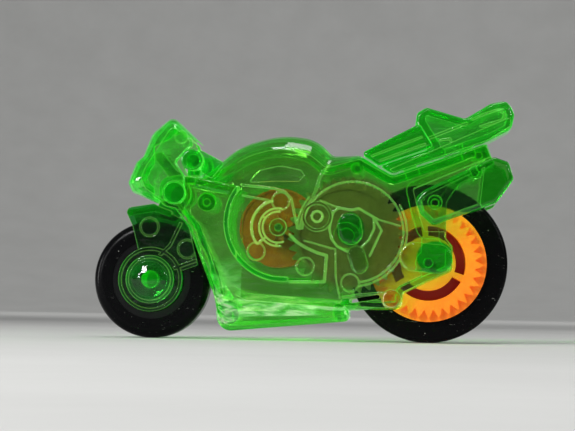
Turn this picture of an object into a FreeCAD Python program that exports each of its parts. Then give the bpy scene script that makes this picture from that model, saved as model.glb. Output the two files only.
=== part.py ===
"""Small translucent snap-together toy motorcycle with a pull-back motor, in millimetres.

+X is forward, +Y is the rider's left, +Z is up. The origin is on the ground, under the middle of the
bike's length and width. Side-view outlines are lists of corners (x, z, corner radius); every one of them
is extruded across the bike, along Y.
"""
import FreeCAD, Part
import math
import os

Vector = FreeCAD.Vector

# ---- driving dimensions -------------------------------------------------------------------------------
REAR_X, REAR_R = -20.4, 12.8            # rear axle's place along the bike, rear tyre's radius
FRONT_X, FRONT_R = 24.5, 9.5            # front axle and front tyre
HALF = 7.4                              # half width of the body over the engine
WALL = 1.1                              # moulded wall
SPLIT = 0.02                            # half the joint gap between the two body shells
RELIEF = 0.45                           # how far raised details stand off the shell
RUN_GAP = 0.05                          # radial clearance of a running fit
FIT = 0.03                              # gap round a snapped-in pin or peg

MODULE, PRESSURE = 0.5, math.radians(28)    # all gears
BACKLASH = 0.05                             # each gear's teeth are thinner by this at the pitch circle
WHEEL_TEETH, PINION_TEETH, BIG_TEETH, DRUM_TEETH = 33, 22, 36, 8
WHEEL_TO_GEAR = math.radians(17.6)          # direction from the rear axle to the compound gear
GEAR_TO_DRUM = math.radians(6.0)            # direction from the compound gear to the spring drum

REAR = (REAR_X, REAR_R)
FRONT = (FRONT_X, FRONT_R)


def polar(centre, radius, angle):
    return centre[0] + radius * math.cos(angle), centre[1] + radius * math.sin(angle)


GEAR = polar(REAR, MODULE * (WHEEL_TEETH + PINION_TEETH) / 2, WHEEL_TO_GEAR)
DRUM = polar(GEAR, MODULE * (BIG_TEETH + DRUM_TEETH) / 2, GEAR_TO_DRUM)

# layers across the bike
TYRE_RIGHT, TYRE_LEFT = -4.6, 2.6           # rear tyre's side faces
FLANGE_LEFT = 3.2                           # orange flange beside the tyre
RING_LEFT = 4.6                             # face of the wheel's gear ring
PINION_RIGHT, BIG_RIGHT, BIG_LEFT = 3.45, 4.95, 6.05    # compound gear's layers
DRUM_RIGHT, DRUM_LEFT = -4.4, 3.1           # spring drum
FORK_IN, FORK_OUT = 3.1, 4.1                # fork plate
COWL_HALF = 6.3                             # half width of the front cowl at its ears

PIN = (20.6, 23.5)                          # cross pin that holds fork, cowl and neck
PIN_R = 1.6
GRIP = (17.5, 28.6)                         # handlebar grip's axis
ENGINE = (-8.3, 17.5)                       # middle of the round engine cover
MOTOR_WALL, MOTOR_WALL_R = (2.9, 18.9), 9.1     # thick round rib in front of the spring drum

# ---- side-view outlines: (x, z, corner radius), counter-clockwise seen from the right ----------------
# The body's middle outline and its side face have matching corners, with the bevel running between them.
BODY = [
    (16.6, 26.1, 0.6), (15.2, 27.0, 0.8), (10.5, 31.3, 12.0), (3.4, 33.3, 14.0), (-2.2, 32.5, 6.0),
    (-4.8, 29.9, 1.4), (-9.2, 30.1, 0.5), (-12.3, 28.1, 0.8), (-14.5, 26.9, 1.2), (-29.6, 32.3, 0.5),
    (-30.9, 28.7, 0.5), (-25.2, 25.2, 1.0), (-23.3, 22.6, 0.8), (-23.3, 16.8, 0.6), (-24.4, 15.6, 0.8),
    (-24.4, 11.5, 1.2), (-16.6, 7.8, 0.5), (-16.3, 5.2, 1.4), (-13.4, 5.1, 1.0), (-7.8, 5.0, 0.3),
    (-8.0, 3.3, 1.0), (10.4, 1.5, 0.6), (13.3, 1.2, 2.4), (14.1, 6.6, 2.0), (18.6, 17.6, 2.0),
    (20.8, 21.0, 0.8), (23.3, 21.4, 1.6), (23.3, 25.9, 1.6), (19.8, 26.5, 0.8),
]
FACE = [
    (15.0, 25.3, 0.4), (13.8, 25.7, 0.6), (9.4, 29.2, 11.0), (3.9, 30.9, 11.0), (-1.2, 29.9, 4.5),
    (-3.9, 27.7, 1.2), (-9.2, 29.2, 0.5), (-12.3, 27.5, 0.8), (-14.5, 26.3, 1.2), (-29.2, 31.6, 0.5),
    (-30.2, 29.2, 0.5), (-24.8, 25.9, 1.0), (-22.9, 22.8, 0.8), (-22.9, 17.0, 0.6), (-24.0, 15.4, 0.8),
    (-24.0, 11.8, 1.2), (-16.4, 8.1, 0.5), (-16.0, 5.6, 1.2), (-13.4, 5.5, 0.8), (-7.2, 5.8, 0.3),
    (-6.9, 5.4, 0.4), (8.6, 6.4, 0.6), (10.6, 7.3, 1.6), (13.6, 10.2, 2.0), (15.5, 18.6, 1.5),
    (19.4, 21.4, 0.8), (22.5, 22.0, 1.2), (22.5, 25.3, 1.2), (19.4, 25.8, 0.6),
]
BEVEL = [(SPLIT, 0.0), (3.2, 0.0), (4.7, 0.16), (6.0, 0.46), (6.8, 0.78), (7.1, 1.0), (HALF, 1.0)]
# half width of the body in plan: (x, y)
PLAN = [(26.0, 5.0), (18.6, 5.0), (15.2, 5.9), (9.4, HALF), (-16.0, HALF), (-34.0, 6.6)]
STEP_IN = [                                 # the frame plate stands further in behind each silencer
    (-31.0, 30.3, 0.3), (-38.0, 30.3, 0.3), (-38.0, 17.8, 0.3), (-19.7, 17.8, 0.4), (-18.6, 21.2, 0.3),
    (-17.8, 24.6, 0.4),
]
STEP_OUT_Y, STEP_IN_Y = 5.6, 4.9

FORK = [
    (28.9, 21.0, 0.8), (24.1, 21.8, 0.8), (21.3, 20.2, 1.0), (18.6, 18.9, 0.6), (16.8, 11.9, 0.4),
    (20.4, 10.6, 0.4), (24.0, 6.0, 0.4), (26.4, 13.6, 0.6), (27.6, 18.2, 1.5),
]
COWL = [
    (21.5, 36.2, 1.2), (17.0, 32.0, 0.9), (16.7, 31.1, 0.5), (20.0, 28.4, 0.8), (18.6, 26.2, 1.0),
    (18.5, 22.2, 1.4), (22.8, 21.5, 1.6), (27.9, 23.7, 0.8), (28.7, 25.2, 0.9), (27.4, 28.7, 0.7),
    (26.3, 29.6, 0.6), (24.8, 33.4, 3.0),
]
COWL_FACE = [
    (21.2, 34.4, 0.9), (18.2, 31.9, 0.7), (18.3, 31.2, 0.4), (20.8, 28.5, 0.8), (19.2, 26.2, 1.0),
    (19.1, 22.8, 1.2), (22.6, 22.3, 1.4), (25.4, 24.2, 0.8), (26.1, 25.8, 0.9), (25.2, 27.9, 0.6),
    (24.3, 29.3, 0.5), (22.6, 32.0, 2.5),
]
COWL_BEVEL = [(0.0, 0.0), (2.4, 0.0), (4.0, 0.22), (5.2, 0.58), (5.9, 1.0), (COWL_HALF, 1.0)]
SEAT = [(-9.3, 30.3, 0.5), (-18.6, 35.2, 0.6), (-20.9, 31.6, 0.4), (-12.3, 28.4, 0.6)]
TAIL = [
    (-12.4, 28.3, 0.3), (-20.0, 31.0, 0.2), (-18.0, 34.9, 0.2), (-18.3, 37.0, 1.0), (-19.8, 37.9, 0.8),
    (-26.0, 36.2, 1.0), (-30.0, 38.7, 2.0), (-32.8, 39.4, 1.4), (-34.0, 37.2, 1.4), (-33.5, 34.7, 1.4),
    (-29.7, 32.6, 0.4), (-14.5, 27.15, 1.0),
]
TAIL_PLAN = [(-8.0, 5.6), (-18.0, 5.4), (-27.0, 4.4), (-36.0, 3.2)]
TAIL_RAIL = [                               # raised band along the tail's lower edge
    (-33.3, 36.6, 0.4), (-33.4, 35.2, 0.6), (-29.6, 32.7, 0.4), (-14.6, 27.25, 0.2), (-14.0, 27.7, 0.2),
]
SILENCER = [
    (-18.2, 23.0, 1.0), (-19.6, 24.3, 0.6), (-30.5, 29.7, 1.0), (-32.9, 28.9, 0.8), (-33.7, 26.2, 1.2),
    (-31.0, 22.4, 1.2), (-21.0, 18.7, 1.0), (-18.9, 20.6, 0.8),
]
SILENCER_IN, SILENCER_OUT = 5.65, 9.3       # the silencer's two sides, across the bike
SILENCER_PINS = [(-21.3, 22.4), (-27.6, 27.3)]


# ---- drawing helpers ----------------------------------------------------------------------------------
def at(point, y=0.0):
    """A side-view point (x, z) as a vector at depth y."""
    return Vector(point[0], y, point[1])


def turn(corners, i):
    """Unit vectors from corner i to its neighbours, half the angle between them, and +1 if it sticks out."""
    here = at(corners[i])
    before = (at(corners[i - 1]) - here).normalize()
    after = (at(corners[(i + 1) % len(corners)]) - here).normalize()
    outward = 1 if (before.z * after.x - before.x * after.z) > 0 else -1
    return before, after, before.getAngle(after) / 2, outward


def inset(corners, depth):
    """The outline moved inwards by depth."""
    moved = []
    for i, (x, z, radius) in enumerate(corners):
        before, after, half, outward = turn(corners, i)
        shift = (before + after).normalize() * (outward * depth / math.sin(half))
        moved.append((x + shift.x, z + shift.z, max(0.05, radius - outward * depth)))
    return moved


def between(first, second, share):
    """Outline part of the way from the first to the second, corner by corner."""
    return [tuple(a + (b - a) * share for a, b in zip(p, q)) for p, q in zip(first, second)]


def rounded_wire(corners, y):
    """Closed wire through the corners at depth y, each rounded by its own radius."""
    edges, last = [], None
    arcs = []
    for i, (x, z, radius) in enumerate(corners):
        before, after, half, _ = turn(corners, i)
        here = at((x, z), y)
        reach = radius / math.tan(half)
        nearest = here + (before + after).normalize() * (radius / math.sin(half) - radius)
        arcs.append((here + before * reach, nearest, here + after * reach))
    for start, middle, end in arcs:
        if last is not None:
            edges.append(Part.LineSegment(last, start).toShape())
        edges.append(Part.Arc(start, middle, end).toShape())
        last = end
    edges.append(Part.LineSegment(last, arcs[0][0]).toShape())
    return Part.Wire(edges)


def prism(corners, y0, y1, depth=0.0):
    """The outline, moved inwards by depth, extruded between two depths across the bike."""
    wire = rounded_wire(inset(corners, depth) if depth else corners, y0)
    return Part.Face(wire).extrude(Vector(0, y1 - y0, 0))


def bevelled(outline, face, stations, depth=0.0):
    """Solid that runs from the middle outline to the side face through the stations (y, share)."""
    wires = []
    for y, share in stations:
        corners = between(outline, face, share)
        wires.append(rounded_wire(inset(corners, depth) if depth else corners, y - depth))
    return Part.makeLoft(wires, True, True)


def plan_solid(half_profile, depth=0.0):
    """A tall solid whose plan is the half profile on both sides of the middle plane."""
    left = [Vector(x, y - depth, -5) for x, y in half_profile]
    right = [Vector(p.x, -p.y, -5) for p in reversed(left)]
    return Part.Face(Part.makePolygon(left + right + left[:1])).extrude(Vector(0, 0, 50))


def disc(centre, radius, y0, y1):
    return Part.makeCylinder(radius, y1 - y0, at(centre, y0), Vector(0, 1, 0))


def ring(centre, outer, inner, y0, y1):
    return disc(centre, outer, y0, y1).cut(disc(centre, inner, y0 - 1, y1 + 1))


def sector(centre, radius, start, end, y0, y1):
    """Slice of a disc between two angles in degrees, from X towards Z."""
    steps = max(2, int(abs(end - start) / 30) + 1)
    angles = [math.radians(start + (end - start) * k / steps) for k in range(steps + 1)]
    reach = radius / math.cos((angles[1] - angles[0]) / 2) + 0.2
    points = [at(centre, y0)] + [at(polar(centre, reach, a), y0) for a in angles]
    wedge = Part.Face(Part.makePolygon(points + points[:1])).extrude(Vector(0, y1 - y0, 0))
    return wedge.common(disc(centre, radius, y0, y1))


def arc_wall(centre, outer, inner, start, end, y0, y1):
    """Part of a ring, with round ends."""
    body = sector(centre, outer, start, end, y0, y1).cut(disc(centre, inner, y0 - 1, y1 + 1))
    for angle in (start, end):
        tip = polar(centre, (outer + inner) / 2, math.radians(angle))
        body = body.fuse(disc(tip, (outer - inner) / 2, y0, y1))
    return body.removeSplitter()


def rib(points, width, y0, y1):
    """A wall of even width along the points, round at its ends and corners."""
    body = disc(points[0], width / 2, y0, y1)
    for a, b in zip(points, points[1:]):
        along = Vector(b[0] - a[0], 0, b[1] - a[1]).normalize()
        side = Vector(-along.z, 0, along.x) * (width / 2)
        corners = [at(a, y0) + side, at(b, y0) + side, at(b, y0) - side, at(a, y0) - side]
        plank = Part.Face(Part.makePolygon(corners + corners[:1])).extrude(Vector(0, y1 - y0, 0))
        body = body.fuse([plank, disc(b, width / 2, y0, y1)])
    return body.removeSplitter()


def oval(centre, length, width, tilt, y0, y1):
    """Upright slot shape, tilted by degrees."""
    angle = math.radians(tilt)
    half = (length - width) / 2
    return rib([polar(centre, half, angle), polar(centre, -half, angle)], width, y0, y1)


def dome(centre, radius, height, y0):
    """Spherical cap on the left side, standing on depth y0."""
    ball_r = (radius ** 2 + height ** 2) / (2 * height)
    ball = Part.makeSphere(ball_r, at(centre, y0 + height - ball_r))
    return ball.common(disc(centre, radius + 1, y0, y0 + height + 1))


def mirrored(shape):
    return shape.mirror(Vector(0, 0, 0), Vector(0, 1, 0))


def soften(shape, radius, chosen):
    """Fillets the edges that the test picks, smaller where the full radius does not fit."""
    edges = [e for e in shape.Edges if chosen(e)]
    for size in (radius, radius * 0.8, radius * 0.6, radius * 0.4):
        try:
            made = shape.makeFillet(size, edges)
        except Exception:
            continue
        if made.isValid() and made.Volume > 0:
            return made
    print("  edges left sharp at radius", radius)
    return shape


def on_plane(y):
    """Test for edges that lie flat at depth y."""
    return lambda edge: abs(edge.BoundBox.YMin - y) < 1e-3 and abs(edge.BoundBox.YMax - y) < 1e-3


def involute(angle):
    return math.tan(angle) - angle


def gear(centre, teeth, addendum, dedendum, phase, y0, y1):
    """Involute spur gear with the middle of one tooth at the phase angle."""
    pitch_r = MODULE * teeth / 2
    base_r, tip_r, root_r = pitch_r * math.cos(PRESSURE), pitch_r + addendum, pitch_r - dedendum
    half_tooth = math.pi / (2 * teeth) - BACKLASH / (2 * pitch_r) + involute(PRESSURE)
    low = max(base_r, root_r)
    steps = 5
    flank = []
    for k in range(steps + 1):
        radius = low + (tip_r - low) * k / steps
        flank.append((radius, half_tooth - involute(math.acos(min(1.0, base_r / radius)))))
    edges = []
    for tooth in range(teeth):
        middle = phase + 2 * math.pi * tooth / teeth
        rise = [at(polar(centre, r, middle - a), y0) for r, a in flank]
        fall = [at(polar(centre, r, middle + a), y0) for r, a in reversed(flank)]
        foot_a = at(polar(centre, root_r, middle - flank[0][1]), y0)
        foot_b = at(polar(centre, root_r, middle + flank[0][1]), y0)
        if root_r < low - 1e-6:
            edges.append(Part.LineSegment(foot_a, rise[0]).toShape())
        for points in (rise, fall):
            curve = Part.BSplineCurve()
            curve.interpolate(points)
            edges.append(curve.toShape())
            if points is rise:
                crown = at(polar(centre, tip_r, middle), y0)
                edges.append(Part.Arc(rise[-1], crown, fall[0]).toShape())
        if root_r < low - 1e-6:
            edges.append(Part.LineSegment(fall[-1], foot_b).toShape())
        gap = at(polar(centre, root_r, middle + math.pi / teeth), y0)
        next_foot = at(polar(centre, root_r, middle + 2 * math.pi / teeth - flank[0][1]), y0)
        edges.append(Part.Arc(foot_b, gap, next_foot).toShape())
    return Part.Face(Part.Wire(edges)).extrude(Vector(0, y1 - y0, 0))


# ---- wheels -------------------------------------------------------------------------------------------
HUB_R, FLANGE_R = 8.9, 9.4
AXLE_R = 0.75


def rear_tyre():
    tyre = ring(REAR, REAR_R, HUB_R, TYRE_RIGHT, TYRE_LEFT)
    return soften(tyre, 0.7, lambda e: e.Length > 2 * math.pi * (REAR_R - 1) and e.BoundBox.YLength < 0.1)


def rear_wheel():
    """Hub, flange and gear ring in one moulding, with three curved slots between the spokes."""
    body = disc(REAR, HUB_R, TYRE_RIGHT, TYRE_LEFT).fuse(disc(REAR, FLANGE_R, TYRE_LEFT, FLANGE_LEFT))
    body = body.fuse(gear(REAR, WHEEL_TEETH, 0.55, 0.65, WHEEL_TO_GEAR, FLANGE_LEFT, RING_LEFT))
    slot_out, slot_in, spoke, spokes = 6.0, 4.4, 5.5, 3
    first_spoke = 203.0
    floor = -1.5
    for k in range(spokes):
        start = first_spoke + 120.0 * k + spoke
        slot = sector(REAR, slot_out, start, start + 120 - 2 * spoke, floor, RING_LEFT + 1)
        body = body.cut(slot.cut(disc(REAR, slot_in, floor - 1, RING_LEFT + 2)))
    pocket_out, pocket_in, pocket_floor, webs = 8.1, 2.6, -2.4, 6
    pocket = ring(REAR, pocket_out, pocket_in, TYRE_RIGHT - 1, pocket_floor)
    for k in range(webs):
        tip = polar(REAR, pocket_out + 1, math.radians(30 + 360 / webs * k))
        pocket = pocket.cut(rib([REAR, tip], 0.9, TYRE_RIGHT - 2, pocket_floor + 1))
    body = body.cut(pocket)
    boss = disc(REAR, 1.9, RING_LEFT, RING_LEFT + 0.2)
    return body.fuse(boss).cut(disc(REAR, AXLE_R + RUN_GAP, -6, 6)).removeSplitter()


def rear_axle():
    pin = disc(REAR, AXLE_R, -6.1, 6.1)
    return pin.makeChamfer(0.2, [e for e in pin.Edges if e.BoundBox.YLength < 0.1])


FRONT_HALF, RIM_R, STUB_R = 2.75, 6.4, 1.2


def front_tyre():
    tyre = ring(FRONT, FRONT_R, RIM_R, -FRONT_HALF, FRONT_HALF)
    return soften(tyre, 1.5, lambda e: e.Length > 2 * math.pi * (FRONT_R - 1) and e.BoundBox.YLength < 0.1)


def front_rim():
    """Dished black rim with a hub tube that turns on the axle."""
    rim = disc(FRONT, RIM_R, -FRONT_HALF + 0.15, FRONT_HALF - 0.15)
    for dish in (ring(FRONT, 5.3, 2.2, 1.0, 4), ring(FRONT, 5.3, 2.2, -4, -1.0)):
        rim = rim.cut(dish)
    hub = disc(FRONT, 2.2, -2.9, 2.9)
    return rim.fuse(hub).cut(disc(FRONT, STUB_R + RUN_GAP, -6, 6)).removeSplitter()


def hub_dome(y0):
    """Stepped round cap with a domed middle."""
    cap = disc(FRONT, 3.9, y0, y0 + 0.7).fuse(disc(FRONT, 3.4, y0 + 0.7, y0 + 1.0))
    return cap.fuse(dome(FRONT, 2.9, 0.75, y0 + 1.0)).removeSplitter()


def front_axle():
    stub = disc(FRONT, STUB_R, -FORK_OUT - 0.5, FORK_OUT + 0.1)
    return hub_dome(FORK_OUT + 0.02).fuse(stub).removeSplitter()


def front_axle_cap():
    cap = mirrored(hub_dome(FORK_OUT + 0.02))
    return cap.cut(disc(FRONT, STUB_R + FIT, -FORK_OUT - 0.6, 0))


# ---- motor --------------------------------------------------------------------------------------------
POST_R, ARBOR_R, DRUM_R, SLEEVE_R = 1.2, 0.6, 6.4, 1.1


def compound_gear():
    """Small pinion that meshes with the wheel's ring, under a large gear that meshes with the drum."""
    into_wheel = WHEEL_TO_GEAR + math.pi + math.pi / PINION_TEETH
    pinion = gear(GEAR, PINION_TEETH, 0.55, 0.65, into_wheel, PINION_RIGHT, BIG_RIGHT)
    big = gear(GEAR, BIG_TEETH, 0.45, 0.6, GEAR_TO_DRUM, BIG_RIGHT, BIG_LEFT)
    body = pinion.fuse(big).cut(ring(GEAR, 7.4, 2.4, BIG_LEFT - 0.35, BIG_LEFT + 1))
    return body.cut(disc(GEAR, POST_R + RUN_GAP, 0, 8)).removeSplitter()


def spring_drum():
    """Cup for the mainspring, with a small pinion on its left end."""
    cup = disc(DRUM, DRUM_R, DRUM_RIGHT + 0.7, DRUM_LEFT)
    cup = cup.cut(disc(DRUM, DRUM_R - 0.7, DRUM_RIGHT, DRUM_LEFT - 0.8))
    rim = ring(DRUM, DRUM_R, DRUM_R - 0.35, DRUM_LEFT, DRUM_LEFT + 0.25)
    neck = disc(DRUM, 1.35, DRUM_LEFT, BIG_RIGHT)
    into_gear = GEAR_TO_DRUM + math.pi + math.pi / DRUM_TEETH
    pinion = gear(DRUM, DRUM_TEETH, 0.45, 0.6, into_gear, BIG_RIGHT - 0.1, BIG_LEFT)
    body = cup.fuse([rim, neck, pinion])
    return body.cut(disc(DRUM, ARBOR_R + RUN_GAP, -8, 8)).removeSplitter()


def drum_lid():
    """Snap-in disc that keeps the spring in its cup."""
    lid = disc(DRUM, DRUM_R, DRUM_RIGHT, DRUM_RIGHT + 0.7)
    lid = lid.fuse(disc(DRUM, DRUM_R - 0.7, DRUM_RIGHT + 0.7, DRUM_RIGHT + 1.0))
    return lid.cut(disc(DRUM, SLEEVE_R + RUN_GAP, -8, 8)).removeSplitter()


def drum_arbor():
    """Steel pin with the thicker middle that the spring's inner end hooks on."""
    pin = disc(DRUM, ARBOR_R, -6.2, 7.0)
    return pin.fuse(disc(DRUM, SLEEVE_R, DRUM_RIGHT - 0.1, DRUM_LEFT - 0.9)).removeSplitter()


def mainspring():
    """Flat steel strip wound in a spiral, with even gaps between its turns."""
    inner_r, pitch, thick, turns, per_turn = 1.3, 0.56, 0.18, 7.25, 24
    count = int(turns * per_turn)
    rails = []
    for offset in (0.0, thick):
        points = []
        for k in range(count + 1):
            angle = 2 * math.pi * k / per_turn
            radius = inner_r + offset + pitch * angle / (2 * math.pi)
            points.append(at(polar(DRUM, radius, angle), -3.2))
        curve = Part.BSplineCurve()
        curve.interpolate(points)
        rails.append((curve.toShape(), points))
    (inside, a), (outside, b) = rails
    outer_end = Part.LineSegment(a[-1], b[-1]).toShape()
    inner_end = Part.LineSegment(b[0], a[0]).toShape()
    return Part.Face(Part.Wire([inside, outer_end, outside, inner_end])).extrude(Vector(0, 5.2, 0))


# ---- fork and front end -------------------------------------------------------------------------------
def fork_plate():
    plate = prism(FORK, FORK_IN, FORK_OUT).fuse(disc(FRONT, 5.2, FORK_IN, FORK_OUT))
    plate = plate.fuse(ring(FRONT, 5.2, 4.7, FORK_OUT, FORK_OUT + 0.3))
    leg = rib([(19.7, 18.6), (21.4, 15.0), (24.0, 12.4)], 0.45, FORK_OUT, FORK_OUT + 0.3)
    brace = rib([(17.2, 12.6), (21.0, 11.2)], 0.5, FORK_OUT, FORK_OUT + 0.3)
    plate = plate.fuse(leg.fuse(brace).cut(disc(FRONT, 4.2, 0, 9)))
    for mark in ((24.8, 18.0), (18.6, 14.5)):
        plate = plate.cut(ring(mark, 1.6, 1.35, FORK_OUT - 0.25, FORK_OUT + 1))
    return plate


def front_fork():
    """Two plates beside the wheel, a mudguard bridge over it and the lug that the cross pin holds."""
    left = fork_plate()
    bridge = rib([(28.1, 20.3), (24.0, 21.1), (21.7, 20.3)], 0.9, -FORK_OUT, FORK_OUT)
    lug_half = 2.4
    lug = rib([(21.9, 20.6), PIN], 4.0, -lug_half, lug_half)
    body = left.fuse([mirrored(left), bridge, lug])
    body = body.cut(disc(FRONT, STUB_R + FIT, -9, 9)).cut(disc(PIN, PIN_R + FIT, -9, 9))
    return body.cut(disc(FRONT, FRONT_R + 0.5, -FORK_IN, FORK_IN)).removeSplitter()


def fork_pin():
    """Cross pin with a low round head on each side."""
    pin = disc(PIN, PIN_R, -COWL_HALF - 0.05, COWL_HALF + 0.05)
    head = disc(PIN, PIN_R + 0.3, COWL_HALF + 0.02, COWL_HALF + 0.45)
    return pin.fuse([head, mirrored(head)]).removeSplitter()


def front_cowl():
    """Hollow headlamp fairing and screen, open at the back, with an ear each side of the neck."""
    thick = 0.9
    outer = bevelled(COWL, COWL_FACE, COWL_BEVEL)
    cavity = [(y, share) for y, share in COWL_BEVEL if share < 1.0] + [(COWL_HALF, 1.0)]
    inner = bevelled(COWL, COWL_FACE, cavity, thick).fuse(prism(COWL, -0.95, 0.05, thick))
    back = [(19.5, 33.4, 0.1), (14.0, 30.0, 0.1), (14.0, 20.0, 0.1), (24.0, 20.0, 0.1), (24.0, 31.0, 0.1)]
    half = outer.cut(inner).cut(prism(back, -1, COWL_HALF - thick))
    half = half.fuse(disc((19.6, 32.5), 1.05, COWL_HALF - 0.6, COWL_HALF + 0.35))
    lens = [(29.5, 28.6, 0.2), (27.2, 28.3, 0.2), (28.2, 24.9, 0.2), (29.5, 24.9, 0.2)]
    half = half.cut(prism(lens, -1, 2.2))
    body = half.fuse(mirrored(half))
    return body.cut(disc(PIN, PIN_R + FIT, -9, 9)).removeSplitter()


def block(width, depth, height, corner, gap=0.0):
    """Box from its lowest corner, larger by the gap on every side."""
    return Part.makeBox(width + 2 * gap, depth + 2 * gap, height + 2 * gap, corner - Vector(gap, gap, gap))


def bar_foot(gap=0.0):
    """Square foot of the handlebar clamp, or the slot for it on top of the neck."""
    return block(1.4, 3.0, 1.5, Vector(17.3, -1.5, 25.3), gap)


def handlebar():
    """Clamp on the neck, cross bar, and on each side a grip with its three-cornered lever guard."""
    clamp = prism([(18.9, 28.6, 0.3), (16.6, 28.6, 0.3), (17.0, 26.5, 0.2), (19.0, 26.5, 0.2)], -2.4, 2.4)
    body = clamp.fuse([bar_foot(), disc(GRIP, 1.0, -6.6, 6.6)])
    guard = [(16.7, 30.5, 0.3), (12.4, 28.3, 0.5), (14.5, 25.7, 0.4), (16.2, 26.8, 0.4)]
    grip = disc(GRIP, 1.7, COWL_HALF + 0.2, 9.6)
    grip = soften(grip, 0.35, on_plane(9.6)).fuse(prism(guard, COWL_HALF + 0.5, COWL_HALF + 1.2))
    for y in (7.9, 8.5):
        grip = grip.cut(ring(GRIP, 2.5, 1.55, y, y + 0.3))
    return body.fuse([grip, mirrored(grip)]).removeSplitter()


# ---- body shells --------------------------------------------------------------------------------------
POSTS = [(11.5, 4.7, 1.7), (-6.2, 5.0, 1.0), (15.3, 22.2, 1.5), (-8.8, 27.9, 1.0), (-28.2, 30.3, 1.0)]
POST_PIN = 0.6


def shell_blank(depth):
    """Left half of the body's outer form, or of its cavity when depth is the wall's thickness."""
    form = bevelled(BODY, FACE, BEVEL, depth)
    if depth:
        form = form.fuse(prism(BODY, SPLIT - 2, SPLIT + 0.01, depth))
    form = form.common(plan_solid(PLAN, depth))
    step = STEP_IN_Y if depth else STEP_OUT_Y
    return form.cut(prism(STEP_IN, step, 12, -depth))


def body_shell(left):
    outer, inner = shell_blank(0.0), shell_blank(WALL)
    shell = outer.cut(inner)
    shell = shell.fuse(arm_plug().common(outer))
    # room for the two wheels, the fork and the big gear
    front_room = [
        (26.0, 22.6, 0.2), (21.2, 22.6, 0.2), (17.0, 17.6, 0.2), (12.4, 4.6, 0.2), (26.0, 4.6, 0.2),
    ]
    rooms = [disc(REAR, REAR_R + 0.6, -1, 4.85), disc(FRONT, FRONT_R + 0.7, -1, 4.4),
             prism(front_room, -1, 4.4), rib([(21.9, 20.6), PIN], 4.5, -1, 2.5)]
    if left:
        rooms.append(disc(GEAR, 10.0, -1, BIG_LEFT + 0.2))
    for room in rooms:
        shell = shell.cut(room)
    shell = shell.fuse([disc(PIN, 2.6, 2.6, 6).common(outer), cowl_stay()])
    shell = shell.cut(disc(PIN, PIN_R + FIT, -1, 9))
    # ribs round the motor, inside the shell
    wall = arc_wall(MOTOR_WALL, MOTOR_WALL_R + 0.4, MOTOR_WALL_R - 0.4, -94, 36, SPLIT, HALF - WALL + 0.05)
    floor_rib = rib([(2.3, 9.75), (-3.9, 9.6)], 0.6, SPLIT, 4.4)
    shell = shell.fuse([wall.common(outer), floor_rib])
    # rear axle bearing, its long blister, the footrest peg and the slit above the lower stay
    blister = soften(oval((-20.0, 13.6), 8.5, 4.5, 5.0, HALF - 1.1, HALF + 0.55), 0.5, on_plane(HALF + 0.55))
    peg = soften(disc((-14.6, 6.9), 1.5, 5.6, HALF + 1.0), 0.4, on_plane(HALF + 1.0))
    shell = shell.fuse([disc(REAR, 2.0, 5.1, 6.6), blister, peg]).cut(disc(REAR, AXLE_R, 0, 6.1))
    shell = shell.cut(rib([(-8.3, 6.55), (-12.4, 7.25)], 0.7, 0, 9))
    shell = shell.cut(tank_recess()).fuse(engine_details() + tank_details())
    if left:
        post = disc(GEAR, POST_R, PINION_RIGHT, HALF - 0.5).fuse(disc(GEAR, 2.1, BIG_LEFT + 0.1, HALF - 0.5))
        boss = disc(DRUM, 1.35, BIG_LEFT + 0.1, HALF + 0.9)
        shell = shell.fuse([post, boss]).cut(disc(DRUM, ARBOR_R, 5, 7.0))
    else:
        shell = shell.fuse(disc(DRUM, 1.5, 4.6, HALF + 0.9)).cut(disc(DRUM, ARBOR_R, 4, 6.2))
    for x, z, radius in POSTS:
        post = disc((x, z), radius, SPLIT, HALF).common(outer)
        if left:
            shell = shell.fuse(post).cut(disc((x, z), POST_PIN + FIT, -1, 2.45))
        else:
            shell = shell.fuse([post, disc((x, z), POST_PIN, -2.4, SPLIT + 0.5)])
    holes = tail_pegs(FIT) + [bar_foot(FIT)] + [disc(p, SILENCER_PIN_R + FIT, 4, 6) for p in SILENCER_PINS]
    for hole in holes:
        shell = shell.cut(hole)
    shell = shell.removeSplitter()
    return shell if left else mirrored(shell)


def arm_plug():
    """Solid end of the swingarm, which backs the rear axle's bearing."""
    end = [(-19.3, 16.9, 0.2), (-26.0, 16.9, 0.2), (-26.0, 9.0, 0.2), (-19.3, 9.0, 0.2)]
    return prism(end, 5.1, HALF - 0.5)


def cowl_stay():
    """Arm from the tank's shoulder, past the neck and up behind the cowl."""
    path = [(23.2, 29.3), (21.0, 26.6), (19.3, 25.6), (16.5, 25.0), (11.0, 24.0)]
    return rib(path[:4], 1.6, 3.4, 4.9).fuse(soften(rib(path[3:], 1.6, 3.4, 6.9), 0.5, on_plane(6.9)))


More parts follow.
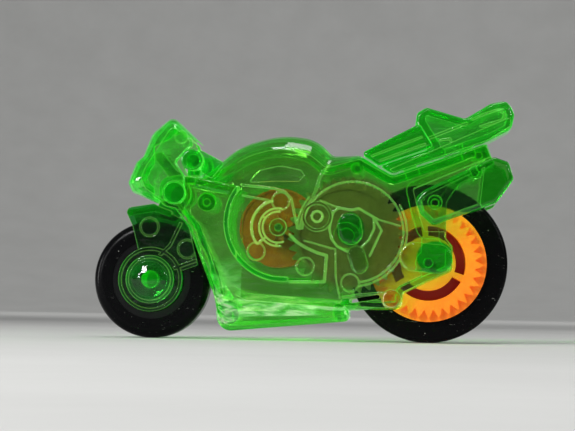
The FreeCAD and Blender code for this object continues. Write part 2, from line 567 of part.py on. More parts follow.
def engine_details():
    """Raised lines and bosses of the engine side, on the flat of the shell."""
    low, high = HALF - 0.2, HALF + RELIEF
    fine = HALF + 0.2
    return [
        arc_wall(MOTOR_WALL, MOTOR_WALL_R + 0.35, MOTOR_WALL_R - 0.35, -94, 36, low, high),
        arc_wall(ENGINE, 8.2, 7.95, 3, 262, low, high - 0.15),
        arc_wall(ENGINE, 8.75, 8.5, 150, 262, low, high - 0.15),
        arc_wall(ENGINE, 8.55, 8.35, 3, 38, low, high - 0.15),
        arc_wall(ENGINE, 9.05, 8.85, 3, 38, low, high - 0.15),
        ring((-2.6, 19.9), 2.4, 1.95, low, high + 0.25),
        ring((-2.6, 19.9), 1.0, 0.7, low, high),
        soften(oval((-7.9, 18.0), 5.0, 3.7, 80, low, high + 0.5), 0.5, on_plane(high + 0.5)),
        soften(oval((-9.2, 13.1), 4.4, 2.7, 72, low, high + 0.55), 0.5, on_plane(high + 0.55)),
        rib([(-6.1, 21.4), (-5.1, 20.6), (-4.6, 18.0), (-4.9, 16.4), (-5.9, 15.1), (-7.5, 14.4),
             (-9.3, 14.7), (-10.9, 16.3), (-11.7, 18.1), (-11.6, 19.9), (-12.9, 17.8),
             (-11.1, 13.8)], 0.28, low, high - 0.1),
        rib([(-5.8, 21.4), (-8.1, 21.0), (-9.2, 21.3), (-10.8, 20.4), (-12.2, 19.6)], 0.32, low, high - 0.1),
        rib([(-3.0, 22.5), (-5.8, 21.4)], 0.18, low, fine),
        rib([(-12.2, 19.6), (-15.8, 18.6)], 0.18, low, fine),
        rib([(-0.6, 16.0), (-5.6, 14.7), (-5.7, 10.3), (-6.4, 6.9)], 0.18, low, fine),
        rib([(-6.9, 7.1), (-9.2, 7.5), (-13.2, 7.9)], 0.3, low, fine),
        rib([(1.6, 9.4), (-3.9, 9.5), (-4.2, 13.7), (-2.7, 14.1), (-0.9, 14.9), (0.5, 15.7), (1.7, 16.9)],
            0.4, low, high - 0.1),
        rib([(0.3, 17.9), (0.8, 19.1), (1.2, 20.9), (1.6, 22.7), (2.6, 23.8), (4.3, 24.3), (9.6, 24.8)],
            0.32, low, high - 0.15),
        rib([(9.4, 23.1), (5.2, 22.4), (6.0, 21.9)], 0.25, low, high - 0.2),
        arc_wall(DRUM, 4.45, 4.1, -38, 77, low, high),
        arc_wall(DRUM, 3.15, 2.9, -98, 100, low, high),
        arc_wall(DRUM, 2.6, 2.35, -110, 95, low, high),
        rib([polar(DRUM, 2.5, -1.5), polar(DRUM, 3.0, -1.5)], 0.3, low, high),
        rib([polar(DRUM, 2.5, -0.7), polar(DRUM, 4.2, -0.7)], 0.3, low, high),
        rib([polar(DRUM, 2.5, 0.6), polar(DRUM, 3.0, 0.6)], 0.3, low, high),
    ] + [ring(p, 1.5, 1.32, low, fine) for p in ((7.1, 14.2), (3.3, 22.3), (-0.8, 11.9), (-8.0, 9.4))]


def tank_details():
    """Crease at the tank's rear end, a fine raised edge."""
    low, high = HALF - 0.6, HALF + 0.2
    return [rib([(-3.7, 27.4), (-2.9, 26.3), (-2.5, 24.6), (-1.9, 23.1)], 0.4, low, high)]


def tank_recess():
    """Long knee recess in the tank's side."""
    edge = [(8.6, 25.2, 0.3), (6.8, 27.2, 1.0), (3.4, 28.0, 4.0), (0.1, 27.3, 0.6), (-0.4, 26.5, 0.4),
            (0.4, 25.5, 0.6), (4.0, 25.5, 3.0)]
    return prism(edge, HALF - 0.5, HALF + 2)


# ---- seat, tail, silencers ----------------------------------------------------------------------------
SILENCER_PIN_R = 0.6
PEG_PLACES = [(-17.2, 28.1), (-26.2, 31.3)]


def tail_pegs(gap=0.0):
    """Square pegs under the tail, or the holes for them, square to its underside."""
    slope = math.degrees(math.atan2(32.6 - 27.15, -29.7 + 14.5))
    pegs = []
    for x, z in PEG_PLACES:
        peg = block(2.2, 3.0, 2.6, Vector(-1.1, -1.5, -1.9), gap)
        peg.rotate(Vector(0, 0, 0), Vector(0, 1, 0), 180 - slope)
        peg.translate(Vector(x, 0, z + 0.35))
        pegs.append(peg)
    return pegs


def tail_width(extra):
    """Tall solid as wide as the tail, plus the extra on each side."""
    return plan_solid([(x, y + extra) for x, y in TAIL_PLAN])


def seat():
    """Wedge with rounded upper edges and two raised lines along each side."""
    body = prism(SEAT, -5.6, 5.6).common(tail_width(0.0))
    body = soften(body, 1.0, lambda e: abs(e.BoundBox.Center.y) > 4 and e.BoundBox.YLength < 1.0
                  and e.BoundBox.Center.z > 31.5 and e.Length > 5)
    upper = rib([(-19.0, 33.0), (-11.2, 29.9)], 0.3, -7, 7)
    lower = rib([(-19.6, 31.9), (-12.6, 29.2)], 0.3, -7, 7)
    return body.fuse([line.common(tail_width(0.2)) for line in (upper, lower)]).removeSplitter()


def tail_hollow():
    """Cavity behind the seat, 1.1 mm inside the tail, which opens underneath between the two pegs."""
    room = [
        (-22.5, 31.2, 0.3), (-19.6, 35.7, 0.3), (-19.6, 36.7, 0.3), (-26.1, 35.0, 0.3), (-30.5, 37.6, 0.6),
        (-32.3, 38.1, 0.4), (-32.8, 37.0, 0.3), (-32.4, 35.3, 0.3), (-29.3, 33.6, 0.3),
    ]
    mouth = [(-22.7, 29.0, 0.2), (-22.7, 32.2, 0.2), (-25.6, 33.2, 0.2), (-25.6, 30.0, 0.2)]
    return prism(room, -7, 7).common(tail_width(-1.0)).fuse(prism(mouth, -2.2, 2.2))


def tail_cowl():
    """Hollow tail with a raised rail below, and a ridge and a lamp outline on each side."""
    body = prism(TAIL, -5.6, 5.6).common(tail_width(0.0))
    body = soften(body, 0.9, lambda e: e.BoundBox.YLength < 1.6 and abs(e.BoundBox.Center.y) > 2
                  and e.BoundBox.Center.z > 35.6 and e.Length > 0.8)
    rail = prism(TAIL_RAIL, -7, 7).common(tail_width(0.45))
    ridge = rib([(-26.2, 35.4), (-19.6, 32.6)], 0.4, -7, 7)
    corners = [(-27.2, 36.1), (-29.4, 37.1), (-31.5, 37.8), (-32.4, 37.0), (-32.0, 36.1), (-28.6, 35.0)]
    outline = rib(corners, 0.3, -7, 7)
    step = rib([(-22.0, 32.6), (-23.6, 32.9), (-24.0, 31.9)], 0.3, -7, 7)
    body = body.fuse([rail] + [line.common(tail_width(0.2)) for line in (ridge, outline, step)])
    lamp = [(-33.7, 37.6, 0.2), (-35.5, 37.6, 0.2), (-35.5, 35.2, 0.2), (-33.3, 35.6, 0.2)]
    body = body.cut(prism(SEAT, -7, 7, -FIT)).cut(tail_hollow()).cut(prism(lamp, -2.2, 2.2))
    return body.fuse(tail_pegs()).removeSplitter()


def silencer():
    """Box moulding, open on the wheel side, solid at its rear end, with two pins into the frame plate."""
    body = soften(prism(SILENCER, SILENCER_IN, SILENCER_OUT), 0.7, on_plane(SILENCER_OUT))
    cavity = prism(SILENCER, SILENCER_IN - 1, SILENCER_OUT - 0.8, 0.8)
    behind = [(-29.4, 31.0, 0.1), (-36.0, 31.0, 0.1), (-36.0, 18.0, 0.1), (-28.0, 18.0, 0.1)]
    body = body.cut(cavity.cut(prism(behind, 0, 12)))
    for place in SILENCER_PINS:
        post = disc(place, 1.1, SILENCER_IN, SILENCER_OUT - 0.7)
        body = body.fuse([post, disc(place, SILENCER_PIN_R, STEP_IN_Y, SILENCER_IN + 0.1)])
    return body.removeSplitter()


PARTS = {
    "rear_tyre": rear_tyre,
    "rear_wheel": rear_wheel,
    "rear_axle": rear_axle,
    "front_tyre": front_tyre,
    "front_rim": front_rim,
    "front_axle": front_axle,
    "front_axle_cap": front_axle_cap,
    "compound_gear": compound_gear,
    "spring_drum": spring_drum,
    "drum_lid": drum_lid,
    "drum_arbor": drum_arbor,
    "mainspring": mainspring,
    "front_fork": front_fork,
    "fork_pin": fork_pin,
    "front_cowl": front_cowl,
    "handlebar": handlebar,
    "left_body_shell": lambda: body_shell(True),
    "right_body_shell": lambda: body_shell(False),
    "seat": seat,
    "tail_cowl": tail_cowl,
    "left_silencer": silencer,
    "right_silencer": lambda: mirrored(silencer()),
}


def main():
    os.makedirs("parts", exist_ok=True)
    for name, make in PARTS.items():
        shape = make()
        print(f"{name}: {len(shape.Solids)} solid(s), valid {shape.isValid()}, {shape.Volume:.1f} mm3")
        shape.exportStep(f"parts/{name}.step")


main()
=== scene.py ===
"""Looks of the clear green pull-back toy motorcycle: materials, studio light and camera."""
import bpy
import math
from mathutils import Matrix, Vector

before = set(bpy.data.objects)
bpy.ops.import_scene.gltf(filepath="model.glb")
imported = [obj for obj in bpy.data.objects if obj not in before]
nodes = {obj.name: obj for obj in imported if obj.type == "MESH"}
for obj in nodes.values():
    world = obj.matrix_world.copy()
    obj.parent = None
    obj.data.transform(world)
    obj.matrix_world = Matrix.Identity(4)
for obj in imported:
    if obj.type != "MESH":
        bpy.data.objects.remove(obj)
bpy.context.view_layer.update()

MM = 0.001

# side-view ovals on the body shells: x, z, half width, half height, in mm
GEAR_WINDOW = (-8.3, 17.5, 9.0, 8.8)        # clear area over the gears, tinted greyer there as painted shade
OVAL_BOSS = (-7.9, 18.0, 2.2, 2.7)          # deep green boss in the middle of the window
AXLE_BOSS = (-21.5, 13.7, 3.0, 2.6)         # deep green end of the swingarm
AXLE_BLISTER = (-21.4, 13.6, 5.4, 3.2)      # blister round that end, which gets no painted glow on its rim
PEG_END = (-14.6, 6.9, 1.5, 1.5)            # amber foot peg
TANK_LIP_HIGHLIGHT = (4.0, 26.4, 4.4, 1.9)            # painted highlight: a pale line above the tank's recess
# ring of the thick curved rib, where the painted glow on raised lines is dimmed
THICK_RIB_OUTSIDE = (2.9, 18.9, 10.2, 10.2)
THICK_RIB_INSIDE = (2.9, 18.9, 8.3, 8.3)

EDGE_RADIUS = 0.2 * MM                      # how far the painted edge glow reaches from an edge
PLASTIC_IOR = 1.49


# ---- small helpers for node materials ----------------------------------------------------------------
class Shader:
    """A material's node tree, with short calls for the nodes used here."""

    def __init__(self, name):
        self.mat = bpy.data.materials.new(name)
        self.mat.use_nodes = True
        self.tree = self.mat.node_tree
        self.tree.nodes.clear()
        self.out = self.add("ShaderNodeOutputMaterial")
        where = self.add("ShaderNodeTexCoord")
        self.normal = where.outputs["Normal"]
        scale = self.add("ShaderNodeMapping")
        scale.inputs["Scale"].default_value = (1000, 1000, 1000)
        self.join(where.outputs["Object"], scale.inputs["Vector"])
        self.mm = scale.outputs["Vector"]

    def add(self, kind, **settings):
        node = self.tree.nodes.new(kind)
        for key, value in settings.items():
            setattr(node, key, value)
        return node

    def join(self, source, target):
        self.tree.links.new(source, target)

    def put(self, socket, value):
        if isinstance(value, bpy.types.NodeSocket):
            self.join(value, socket)
        else:
            socket.default_value = value

    def noise(self, scale, detail=3.0, rough=0.55, stretch=None, distortion=0.0, lean=0.0):
        node = self.add("ShaderNodeTexNoise")
        node.inputs["Scale"].default_value = scale
        node.inputs["Detail"].default_value = detail
        node.inputs["Roughness"].default_value = rough
        node.inputs["Distortion"].default_value = distortion
        place = self.mm
        if stretch:
            squeeze = self.add("ShaderNodeMapping")
            squeeze.inputs["Scale"].default_value = stretch
            squeeze.inputs["Rotation"].default_value = (0.0, math.radians(lean), 0.0)
            self.join(self.mm, squeeze.inputs["Vector"])
            place = squeeze.outputs["Vector"]
        self.join(place, node.inputs["Vector"])
        return node.outputs["Fac"]

    def specks(self, scale, size, share):
        """Small round spots: 1 inside, 0 outside, on the given share of the cells."""
        cells = self.add("ShaderNodeTexVoronoi")
        cells.inputs["Scale"].default_value = scale
        self.join(self.mm, cells.inputs["Vector"])
        near = self.ramp(cells.outputs["Distance"], size, size * 0.6, 0.0, 1.0)
        pick = self.add("ShaderNodeSeparateColor")
        self.join(cells.outputs["Color"], pick.inputs["Color"])
        chosen = self.ramp(pick.outputs["Red"], 1 - share, 1 - share + 0.02, 0.0, 1.0)
        return self.math("MULTIPLY", near, chosen)

    def ramp(self, value, low, high, out_low, out_high):
        node = self.add("ShaderNodeMapRange")
        self.put(node.inputs["Value"], value)
        node.inputs["From Min"].default_value = low
        node.inputs["From Max"].default_value = high
        node.inputs["To Min"].default_value = out_low
        node.inputs["To Max"].default_value = out_high
        return node.outputs["Result"]

    def math(self, operation, a, b=0.0, clamp=False):
        node = self.add("ShaderNodeMath", operation=operation, use_clamp=clamp)
        self.put(node.inputs[0], a)
        self.put(node.inputs[1], b)
        return node.outputs["Value"]

    def mix(self, share, a, b):
        node = self.add("ShaderNodeMix", data_type="RGBA")
        self.put(node.inputs["Factor"], share)
        self.put(node.inputs["A"], a)
        self.put(node.inputs["B"], b)
        return node.outputs["Result"]

    def oval(self, x, z, wide, high):
        """1 inside an oval in the side view, 0 outside."""
        across = self.math("DIVIDE", self.math("SUBTRACT", self.axis(self.mm, "X"), x), wide)
        up = self.math("DIVIDE", self.math("SUBTRACT", self.axis(self.mm, "Z"), z), high)
        far = self.math("ADD", self.math("MULTIPLY", across, across), self.math("MULTIPLY", up, up))
        return self.ramp(far, 1.1, 0.9, 0.0, 1.0)

    def band(self, value, low, high, soft):
        """1 between low and high, fading to 0 outside."""
        rise = self.ramp(value, low - soft, low, 0.0, 1.0)
        return self.math("MULTIPLY", rise, self.ramp(value, high, high + soft, 1.0, 0.0))

    def axis(self, vector, name):
        node = self.add("ShaderNodeSeparateXYZ")
        self.join(vector, node.inputs["Vector"])
        return node.outputs[name]

    def bump(self, height, strength, distance):
        node = self.add("ShaderNodeBump")
        node.inputs["Strength"].default_value = strength
        node.inputs["Distance"].default_value = distance * MM
        self.join(height, node.inputs["Height"])
        return node.outputs["Normal"]

    def surface(self, **values):
        node = self.add("ShaderNodeBsdfPrincipled")
        for key, value in values.items():
            self.put(node.inputs[key.replace("_", " ")], value)
        self.join(node.outputs["BSDF"], self.out.inputs["Surface"])
        return node


def rgb(r, g, b):
    return (r, g, b, 1.0)


def rim_mask(s):
    """Rounded normal, and a mask that is 1 along sharp edges."""
    soft = s.add("ShaderNodeBevel", samples=4)
    soft.inputs["Radius"].default_value = EDGE_RADIUS
    true_way = s.add("ShaderNodeNewGeometry").outputs["True Normal"]
    along = s.add("ShaderNodeVectorMath", operation="DOT_PRODUCT")
    s.join(soft.outputs["Normal"], along.inputs[0])
    s.join(true_way, along.inputs[1])
    return soft.outputs["Normal"], s.ramp(along.outputs["Value"], 0.995, 0.82, 0.0, 1.0)


def shell_colour(s, colour):
    """Greyer over the gears as painted shade, deep green at two bosses and amber at the foot peg."""
    shaded_window = s.oval(*GEAR_WINDOW)
    deep = s.math("MAXIMUM", s.oval(*OVAL_BOSS), s.oval(*AXLE_BOSS))
    # painted shade: greyer, browner tint over the gears
    colour = s.mix(shaded_window, colour, rgb(0.64, 0.55, 0.42))
    colour = s.mix(deep, colour, rgb(0.01, 0.55, 0.03))
    return shaded_window, s.mix(s.oval(*PEG_END), colour, rgb(1.0, 0.50, 0.03))


def shell_painted_highlight(s, flow):
    """Painted highlights: pale bands along the belly's bevel and the fairing's front, and over the tank's
    recess.
    """
    high, ahead, up = s.axis(s.mm, "Z"), s.axis(s.normal, "X"), s.axis(s.normal, "Z")
    belly = s.math("MULTIPLY", s.band(up, -0.62, -0.24, 0.08), s.ramp(high, 7.5, 8.5, 1.0, 0.0))
    nose = s.math("MULTIPLY", s.band(ahead, 0.30, 0.60, 0.08), s.band(high, 7.0, 11.0, 2.5))
    lip = s.math("MULTIPLY", s.oval(*TANK_LIP_HIGHLIGHT), s.ramp(up, 0.3, 0.6, 0.0, 1.0))
    painted_highlight = s.math("MAXIMUM", s.math("MAXIMUM", belly, nose), lip)
    return s.math("MULTIPLY", painted_highlight, s.ramp(flow, 0.36, 0.62, 0.1, 1.0))


def shell_raised_line_glow(s):
    """Mask for the painted glow on the raised lines on the sides, dimmer on the thick curved rib and none
    on the blister.
    """
    out = s.math("ABSOLUTE", s.axis(s.mm, "Y"))
    raised = s.math("MULTIPLY", s.ramp(out, 7.5, 7.85, 0.0, 1.0), s.ramp(out, 7.9, 8.0, 1.0, 0.0))
    raised = s.math("MULTIPLY", raised, s.ramp(s.oval(*AXLE_BLISTER), 0.0, 1.0, 1.0, 0.0))
    thick_rib = s.math("SUBTRACT", s.oval(*THICK_RIB_OUTSIDE), s.oval(*THICK_RIB_INSIDE), True)
    thick_rib = s.math("MULTIPLY", thick_rib, s.ramp(s.axis(s.mm, "X"), 1.2, 2.2, 0.0, 1.0))
    return s.math("MULTIPLY", raised, s.ramp(thick_rib, 0.0, 1.0, 1.0, 0.15))


def finish_clear(s, body, dye_colour, density):
    """Lets lamp light through, and dyes the light inside the plastic."""
    lamp = s.add("ShaderNodeBsdfTransparent")
    lamp.inputs["Color"].default_value = rgb(0.86, 0.97, 0.80)
    path = s.add("ShaderNodeLightPath")
    both = s.add("ShaderNodeMixShader")
    s.join(path.outputs["Is Shadow Ray"], both.inputs[0])
    s.join(body.outputs["BSDF"], both.inputs[1])
    s.join(lamp.outputs["BSDF"], both.inputs[2])
    s.join(both.outputs["Shader"], s.out.inputs["Surface"])
    dye = s.add("ShaderNodeVolumeAbsorption")
    dye.inputs["Color"].default_value = rgb(*dye_colour)
    dye.inputs["Density"].default_value = density
    s.join(dye.outputs["Volume"], s.out.inputs["Volume"])


def clear_green(name, dye_colour, density, tint, painted_face_glow, painted_edge_glow, shell=False, lean=0.0, waves=0.25):
    """Fluorescent clear plastic, dim through a thin wall; the green glow along its edges and side faces,
    and faintly on flat faces, is painted glow.
    """
    s = Shader(name)
    scuff = s.noise(2.2, 5, 0.6)
    hairs = s.noise(1.0, 6, 0.7, stretch=(0.6, 3.0, 9.0), distortion=1.5)
    rough = s.math("ADD", s.ramp(scuff, 0.35, 0.75, 0.008, 0.04), s.ramp(hairs, 0.62, 0.74, 0.0, 0.06))
    flow = s.noise(0.55, 2, 0.5, stretch=(0.5, 2.0, 1.8), distortion=0.8, lean=lean)
    round_normal, edge = rim_mask(s)
    side = s.ramp(s.math("ABSOLUTE", s.axis(s.normal, "Y")), 0.8, 0.2, 0.0, 1.0)
    cloud = s.ramp(s.noise(0.22, 2, 0.5), 0.35, 0.65, 0.55, 1.25)
    streak = s.noise(0.9, 4, 0.6, stretch=(0.25, 1.6, 1.3), distortion=0.6, lean=lean)
    streak = s.ramp(streak, 0.34, 0.66, 0.12, 1.5)
    # painted glow, faint and patchy, on flat faces
    flat = s.math("MULTIPLY", s.math("MULTIPLY", cloud, streak), painted_face_glow)
    level = s.ramp(s.math("ABSOLUTE", s.axis(s.normal, "Z")), 0.6, 0.95, 1.0, 0.3)
    # painted glow on the side faces, weaker on level faces
    painted_side_glow = s.math("MULTIPLY", s.math("MULTIPLY", s.math("MULTIPLY", side, level), streak), painted_edge_glow)
    # painted glow along sharp edges
    painted_rim_glow = s.math("MULTIPLY", edge, s.ramp(side, 0.0, 1.0, painted_edge_glow * 2.4, painted_edge_glow * 1.1))
    painted_glow = s.math("MAXIMUM", painted_rim_glow, painted_side_glow)
    patch = s.noise(0.16, 3, 0.55, stretch=(0.8, 1.0, 1.2), distortion=0.5)
    patch = s.ramp(patch, 0.42, 0.62, 0.0, 0.75)
    colour = s.mix(patch, rgb(*tint), rgb(*[c * c for c in tint]))
    raised = 0.0
    painted_highlight = 0.0
    if shell:
        shaded_window, colour = shell_colour(s, colour)
        # less painted face glow over the gears
        flat = s.math("MULTIPLY", flat, s.ramp(shaded_window, 0.0, 1.0, 1.0, 0.12))
        painted_highlight = shell_painted_highlight(s, flow)
        raised = shell_raised_line_glow(s)
        # painted glow along the raised lines
        painted_glow = s.math("MAXIMUM", painted_glow, s.math("MULTIPLY", raised, painted_edge_glow * 2.6))
        # painted highlights on the belly, the fairing's front and the tank lip
        painted_glow = s.math("MAXIMUM", painted_glow, s.math("MULTIPLY", painted_highlight, 0.42))
    painted_glow = s.math("ADD", painted_glow, flat)
    bump = s.add("ShaderNodeBump")
    bump.inputs["Strength"].default_value = waves
    bump.inputs["Distance"].default_value = 0.15 * MM
    s.join(s.math("ADD", flow, s.math("MULTIPLY", hairs, 0.12)), bump.inputs["Height"])
    s.join(round_normal, bump.inputs["Normal"])
    # colour of the painted glow: green, paler on edges and raised lines, palest on the painted highlights
    light = s.mix(s.math("MAXIMUM", edge, raised), rgb(0.0, 1.0, 0.07), rgb(0.36, 0.95, 0.16))
    light = s.mix(painted_highlight, light, rgb(0.78, 0.95, 0.62))
    body = s.surface(Base_Color=colour, Roughness=rough, IOR=PLASTIC_IOR, Transmission_Weight=1.0,
                     Normal=bump.outputs["Normal"], Emission_Color=light, Emission_Strength=painted_glow)
    finish_clear(s, body, dye_colour, density)
    return s.mat


def black_rubber(name):
    """Smooth glossy tyre rubber with dust specks and a few pale scuffs."""
    s = Shader(name)
    dust = s.math("MAXIMUM", s.specks(0.9, 0.10, 0.10), s.specks(2.3, 0.12, 0.06), True)
    haze = s.ramp(s.noise(0.35, 4, 0.6), 0.45, 0.8, 0.0, 1.0)
    lint = s.ramp(s.noise(0.8, 2, 0.4, stretch=(0.5, 1.0, 3.0), distortion=3.0), 0.735, 0.75, 0.0, 0.5)
    colour = s.mix(s.math("MAXIMUM", dust, lint), rgb(0.002, 0.002, 0.0024), rgb(0.24, 0.24, 0.22))
    grain = s.ramp(s.noise(3.0, 6, 0.7), 0.3, 0.7, 0.16, 0.27)
    rough = s.math("ADD", grain, s.math("MULTIPLY", haze, 0.12))
    s.surface(Base_Color=colour, Roughness=rough, Specular_IOR_Level=0.08,
              Normal=s.bump(s.noise(5.0, 4, 0.6), 0.12, 0.03))
    return s.mat


def orange_plastic(name):
    """Opaque orange moulding with a faint painted glow; the deep slots between the spokes get dark red
    painted shade.
    """
    s = Shader(name)
    # painted shade: dark red deep in the slots between the spokes
    slot_shade = s.ramp(s.axis(s.mm, "Y"), 1.6, 2.4, 1.0, 0.0)
    patch = s.ramp(s.noise(0.5, 3), 0.3, 0.7, 0.0, 1.0)
    face = s.mix(patch, rgb(1.0, 0.215, 0.004), rgb(1.0, 0.255, 0.008))
    colour = s.mix(slot_shade, face, rgb(0.36, 0.012, 0.002))
    rough = s.ramp(s.noise(2.5, 5, 0.65), 0.3, 0.75, 0.28, 0.46)
    # the emission is a painted glow that brightens the orange
    s.surface(Base_Color=colour, Roughness=rough, Subsurface_Weight=0.12, Emission_Color=colour,
              Emission_Strength=0.16, Subsurface_Radius=(0.0012, 0.0005, 0.0002),
              Normal=s.bump(s.noise(3.0, 4, 0.6), 0.1, 0.04))
    return s.mat


def frosted_white(name):
    """Natural, half-clear plastic of the big gear."""
    s = Shader(name)
    cloud = s.ramp(s.noise(0.7, 4, 0.6), 0.3, 0.75, 0.0, 1.0)
    colour = s.mix(cloud, rgb(0.30, 0.25, 0.19), rgb(0.44, 0.38, 0.30))
    rough = s.ramp(s.noise(3.0, 5, 0.6), 0.3, 0.7, 0.34, 0.52)
    s.surface(Base_Color=colour, Roughness=rough, Transmission_Weight=0.72, IOR=1.5,
              Normal=s.bump(s.noise(4.0, 3, 0.5), 0.1, 0.03))
    return s.mat


def red_plastic(name):
    """Red-orange moulding of the spring drum and its lid."""
    s = Shader(name)
    cloud = s.ramp(s.noise(0.6, 4, 0.6), 0.3, 0.75, 0.0, 1.0)
    colour = s.mix(cloud, rgb(0.55, 0.040, 0.010), rgb(0.80, 0.085, 0.014))
    rough = s.ramp(s.noise(2.4, 5, 0.6), 0.3, 0.7, 0.26, 0.44)
    s.surface(Base_Color=colour, Roughness=rough, Subsurface_Weight=0.1,
              Subsurface_Radius=(0.001, 0.0003, 0.0001), Normal=s.bump(s.noise(3.5, 3, 0.5), 0.1, 0.03))
    return s.mat


def black_plastic(name):
    """Glossy black moulding of the front rim, with faint swirls."""
    s = Shader(name)
    swirl = s.ramp(s.noise(0.9, 4, 0.6), 0.3, 0.75, 0.0, 1.0)
    colour = s.mix(swirl, rgb(0.003, 0.003, 0.0035), rgb(0.007, 0.007, 0.008))
    rough = s.ramp(s.noise(3.0, 5, 0.6), 0.3, 0.7, 0.12, 0.26)
    s.surface(Base_Color=colour, Roughness=rough, Specular_IOR_Level=0.25,
              Normal=s.bump(s.noise(4.0, 3, 0.5), 0.1, 0.03))
    return s.mat


def spring_steel(name):
    """Bright drawn steel with fine grain along the bike's width."""
    s = Shader(name)
    grain = s.noise(9.0, 4, 0.7, stretch=(1.0, 0.12, 1.0))
    colour = s.mix(s.ramp(grain, 0.35, 0.65, 0.0, 1.0), rgb(0.40, 0.40, 0.41), rgb(0.62, 0.62, 0.62))
    s.surface(Base_Color=colour, Metallic=1.0, Roughness=s.ramp(grain, 0.3, 0.7, 0.2, 0.42),
              Normal=s.bump(grain, 0.15, 0.02))
    return s.mat


SHELL = clear_green("clear_green_shell", (0.45, 0.98, 0.02), 560.0, (0.56, 0.76, 0.46), 0.012, 0.15,
                    shell=True)
PLATE = clear_green("clear_green_plate", (0.04, 0.95, 0.12), 560.0, (0.12, 0.58, 0.20), 0.003, 0.11)
BOX = clear_green("clear_green_box", (0.15, 0.97, 0.05), 420.0, (0.48, 0.76, 0.38), 0.006, 0.14,
                  lean=-25.0)
COWL = clear_green("clear_green_cowl", (0.25, 0.97, 0.08), 480.0, (0.56, 0.88, 0.50), 0.030, 0.17,
                   waves=0.5)
TAIL = clear_green("clear_green_tail", (0.05, 0.95, 0.04), 330.0, (0.42, 0.84, 0.38), 0.020, 0.17,
                   lean=-20.0, waves=0.5)
THICK = clear_green("clear_green_solid", (0.02, 0.93, 0.05), 560.0, (0.30, 0.90, 0.34), 0.035, 0.14)
RUBBER = black_rubber("black_rubber")
RED = red_plastic("red_plastic")
STEEL = spring_steel("spring_steel")
LOOKS = {
    "left_body_shell": SHELL, "right_body_shell": SHELL, "front_fork": PLATE, "front_cowl": COWL,
    "left_silencer": BOX, "right_silencer": BOX, "seat": TAIL, "tail_cowl": TAIL,
    "handlebar": THICK, "fork_pin": THICK, "front_axle": THICK, "front_axle_cap": THICK,
    "front_tyre": RUBBER, "rear_tyre": RUBBER, "front_rim": black_plastic("black_plastic"),
    "rear_wheel": orange_plastic("orange_plastic"), "compound_gear": frosted_white("frosted_white"),
    "spring_drum": RED, "drum_lid": RED, "drum_arbor": STEEL, "rear_axle": STEEL, "mainspring": STEEL,
}

for name, piece in nodes.items():
    piece.data.materials.clear()
    piece.data.materials.append(LOOKS[name])


# ---- floor, backdrop and light -----------------------------------------------------------------------
def studio_floor():
    """Pale sheet that curves up far behind and around the bike."""
    s = Shader("studio_sheet")
    tone = s.ramp(s.noise(0.02, 3, 0.5), 0.3, 0.7, 0.0, 1.0)
    colour = s.mix(tone, rgb(0.56, 0.56, 0.545), rgb(0.60, 0.60, 0.585))
    s.surface(Base_Color=colour, Roughness=s.ramp(s.noise(0.2, 4), 0.3, 0.7, 0.75, 0.9))
    reach, bend, height, steps = 1.6, 0.9, 2.4, 24
    profile = [(0.0, 0.0), (reach, 0.0)]
    for k in range(1, steps + 1):
        a = math.pi / 2 * k / steps
        profile.append((reach + bend * math.sin(a), bend * (1 - math.cos(a))))
    profile.append((reach + bend, height))
    turns = 96
    points = [(0.0, 0.0, 0.0)]
    for r, z in profile[1:]:
        for k in range(turns):
            a = 2 * math.pi * k / turns
            points.append((r * math.cos(a), r * math.sin(a), z))
    faces = [(0, 1 + k, 1 + (k + 1) % turns) for k in range(turns)]
    for ring in range(len(profile) - 2):
        base = 1 + ring * turns
        for k in range(turns):
            n = (k + 1) % turns
            faces.append((base + k, base + turns + k, base + turns + n, base + n))
    mesh = bpy.data.meshes.new("studio_sheet")
    mesh.from_pydata(points, [], faces)
    for face in mesh.polygons:
        face.use_smooth = True
    sheet = bpy.data.objects.new("studio_sheet", mesh)
    bpy.context.scene.collection.objects.link(sheet)
    mesh.materials.append(s.mat)


def area_light(name, place, aim, size, power):
    """White lamp aimed at a point; places and sizes are in metres, power in watts."""
    lamp = bpy.data.lights.new(name, "AREA")
    lamp.shape = "RECTANGLE"
    lamp.size, lamp.size_y = size
    lamp.energy = power
    holder = bpy.data.objects.new(name, lamp)
    holder.location = place
    holder.rotation_euler = (Vector(aim) - Vector(place)).to_track_quat("-Z", "Y").to_euler()
    bpy.context.scene.collection.objects.link(holder)


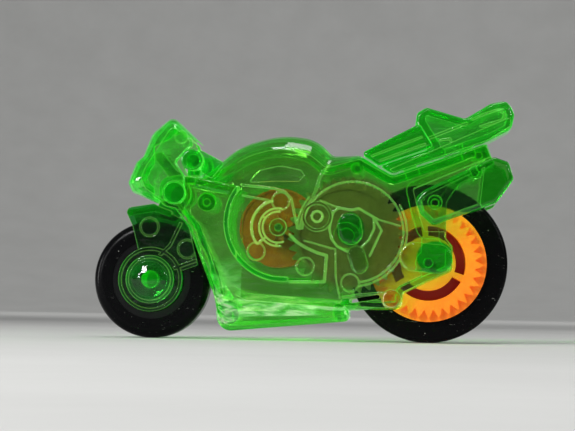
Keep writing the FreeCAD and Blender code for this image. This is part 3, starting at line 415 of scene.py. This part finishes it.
def studio():
    """Floor, soft lamps round the bike, a lamp for the backdrop and dim air."""
    studio_floor()
    middle = (0, 0, 0.018)
    area_light("key_window", (0.20, 0.34, 0.24), middle, (0.11, 0.11), 1.2)
    area_light("top_softbox", (-0.06, -0.02, 0.42), middle, (0.14, 0.14), 0.42)
    area_light("rear_fill", (-0.30, -0.30, 0.22), middle, (0.20, 0.20), 0.35)
    area_light("front_strip", (0.34, 0.10, 0.05), middle, (0.03, 0.14), 0.45)
    area_light("front_glint", (0.24, 0.26, 0.08), middle, (0.02, 0.08), 0.16)
    area_light("rear_glint", (-0.24, 0.26, 0.13), middle, (0.02, 0.08), 0.16)
    area_light("top_glint", (0.02, 0.16, 0.34), middle, (0.10, 0.02), 0.16)
    area_light("backdrop_wash", (0.0, -0.6, 0.9), (0.0, -2.4, 0.45), (1.4, 0.5), 11.0)
    world = bpy.data.worlds.new("studio_air")
    world.use_nodes = True
    world.node_tree.nodes["Background"].inputs["Color"].default_value = rgb(0.95, 0.97, 1.0)
    world.node_tree.nodes["Background"].inputs["Strength"].default_value = 0.2
    bpy.context.scene.world = world


# ---- camera: square to the bike's left side, a little to the rear, close to the ground ---------------
def camera():
    """Long lens looking slightly up, with a small roll."""
    azimuth, elevation, roll = math.radians(183.8), math.radians(-3.0), math.radians(1.04)
    distance, wide = 300 * MM, 94.26 * MM
    aim = Vector((2.65, 0.0, 20.39)) * MM
    level = math.cos(elevation)
    back = Vector((math.sin(azimuth) * level, -math.cos(azimuth) * level, math.sin(elevation)))
    right = Vector((0, 0, 1)).cross(back).normalized()
    up = back.cross(right)
    tilt = math.cos(roll), math.sin(roll)
    right, up = right * tilt[0] + up * tilt[1], up * tilt[0] - right * tilt[1]
    view = bpy.data.cameras.new("camera")
    view.sensor_width = 36
    view.lens = view.sensor_width * distance / wide
    view.clip_start, view.clip_end = 0.01, 10
    holder = bpy.data.objects.new("camera", view)
    turn = Matrix((right, up, back)).transposed().to_4x4()
    holder.matrix_world = Matrix.Translation(aim + back * distance) @ turn
    bpy.context.scene.collection.objects.link(holder)
    bpy.context.scene.camera = holder


studio()
camera()
bpy.context.scene.view_settings.view_transform = "Standard"
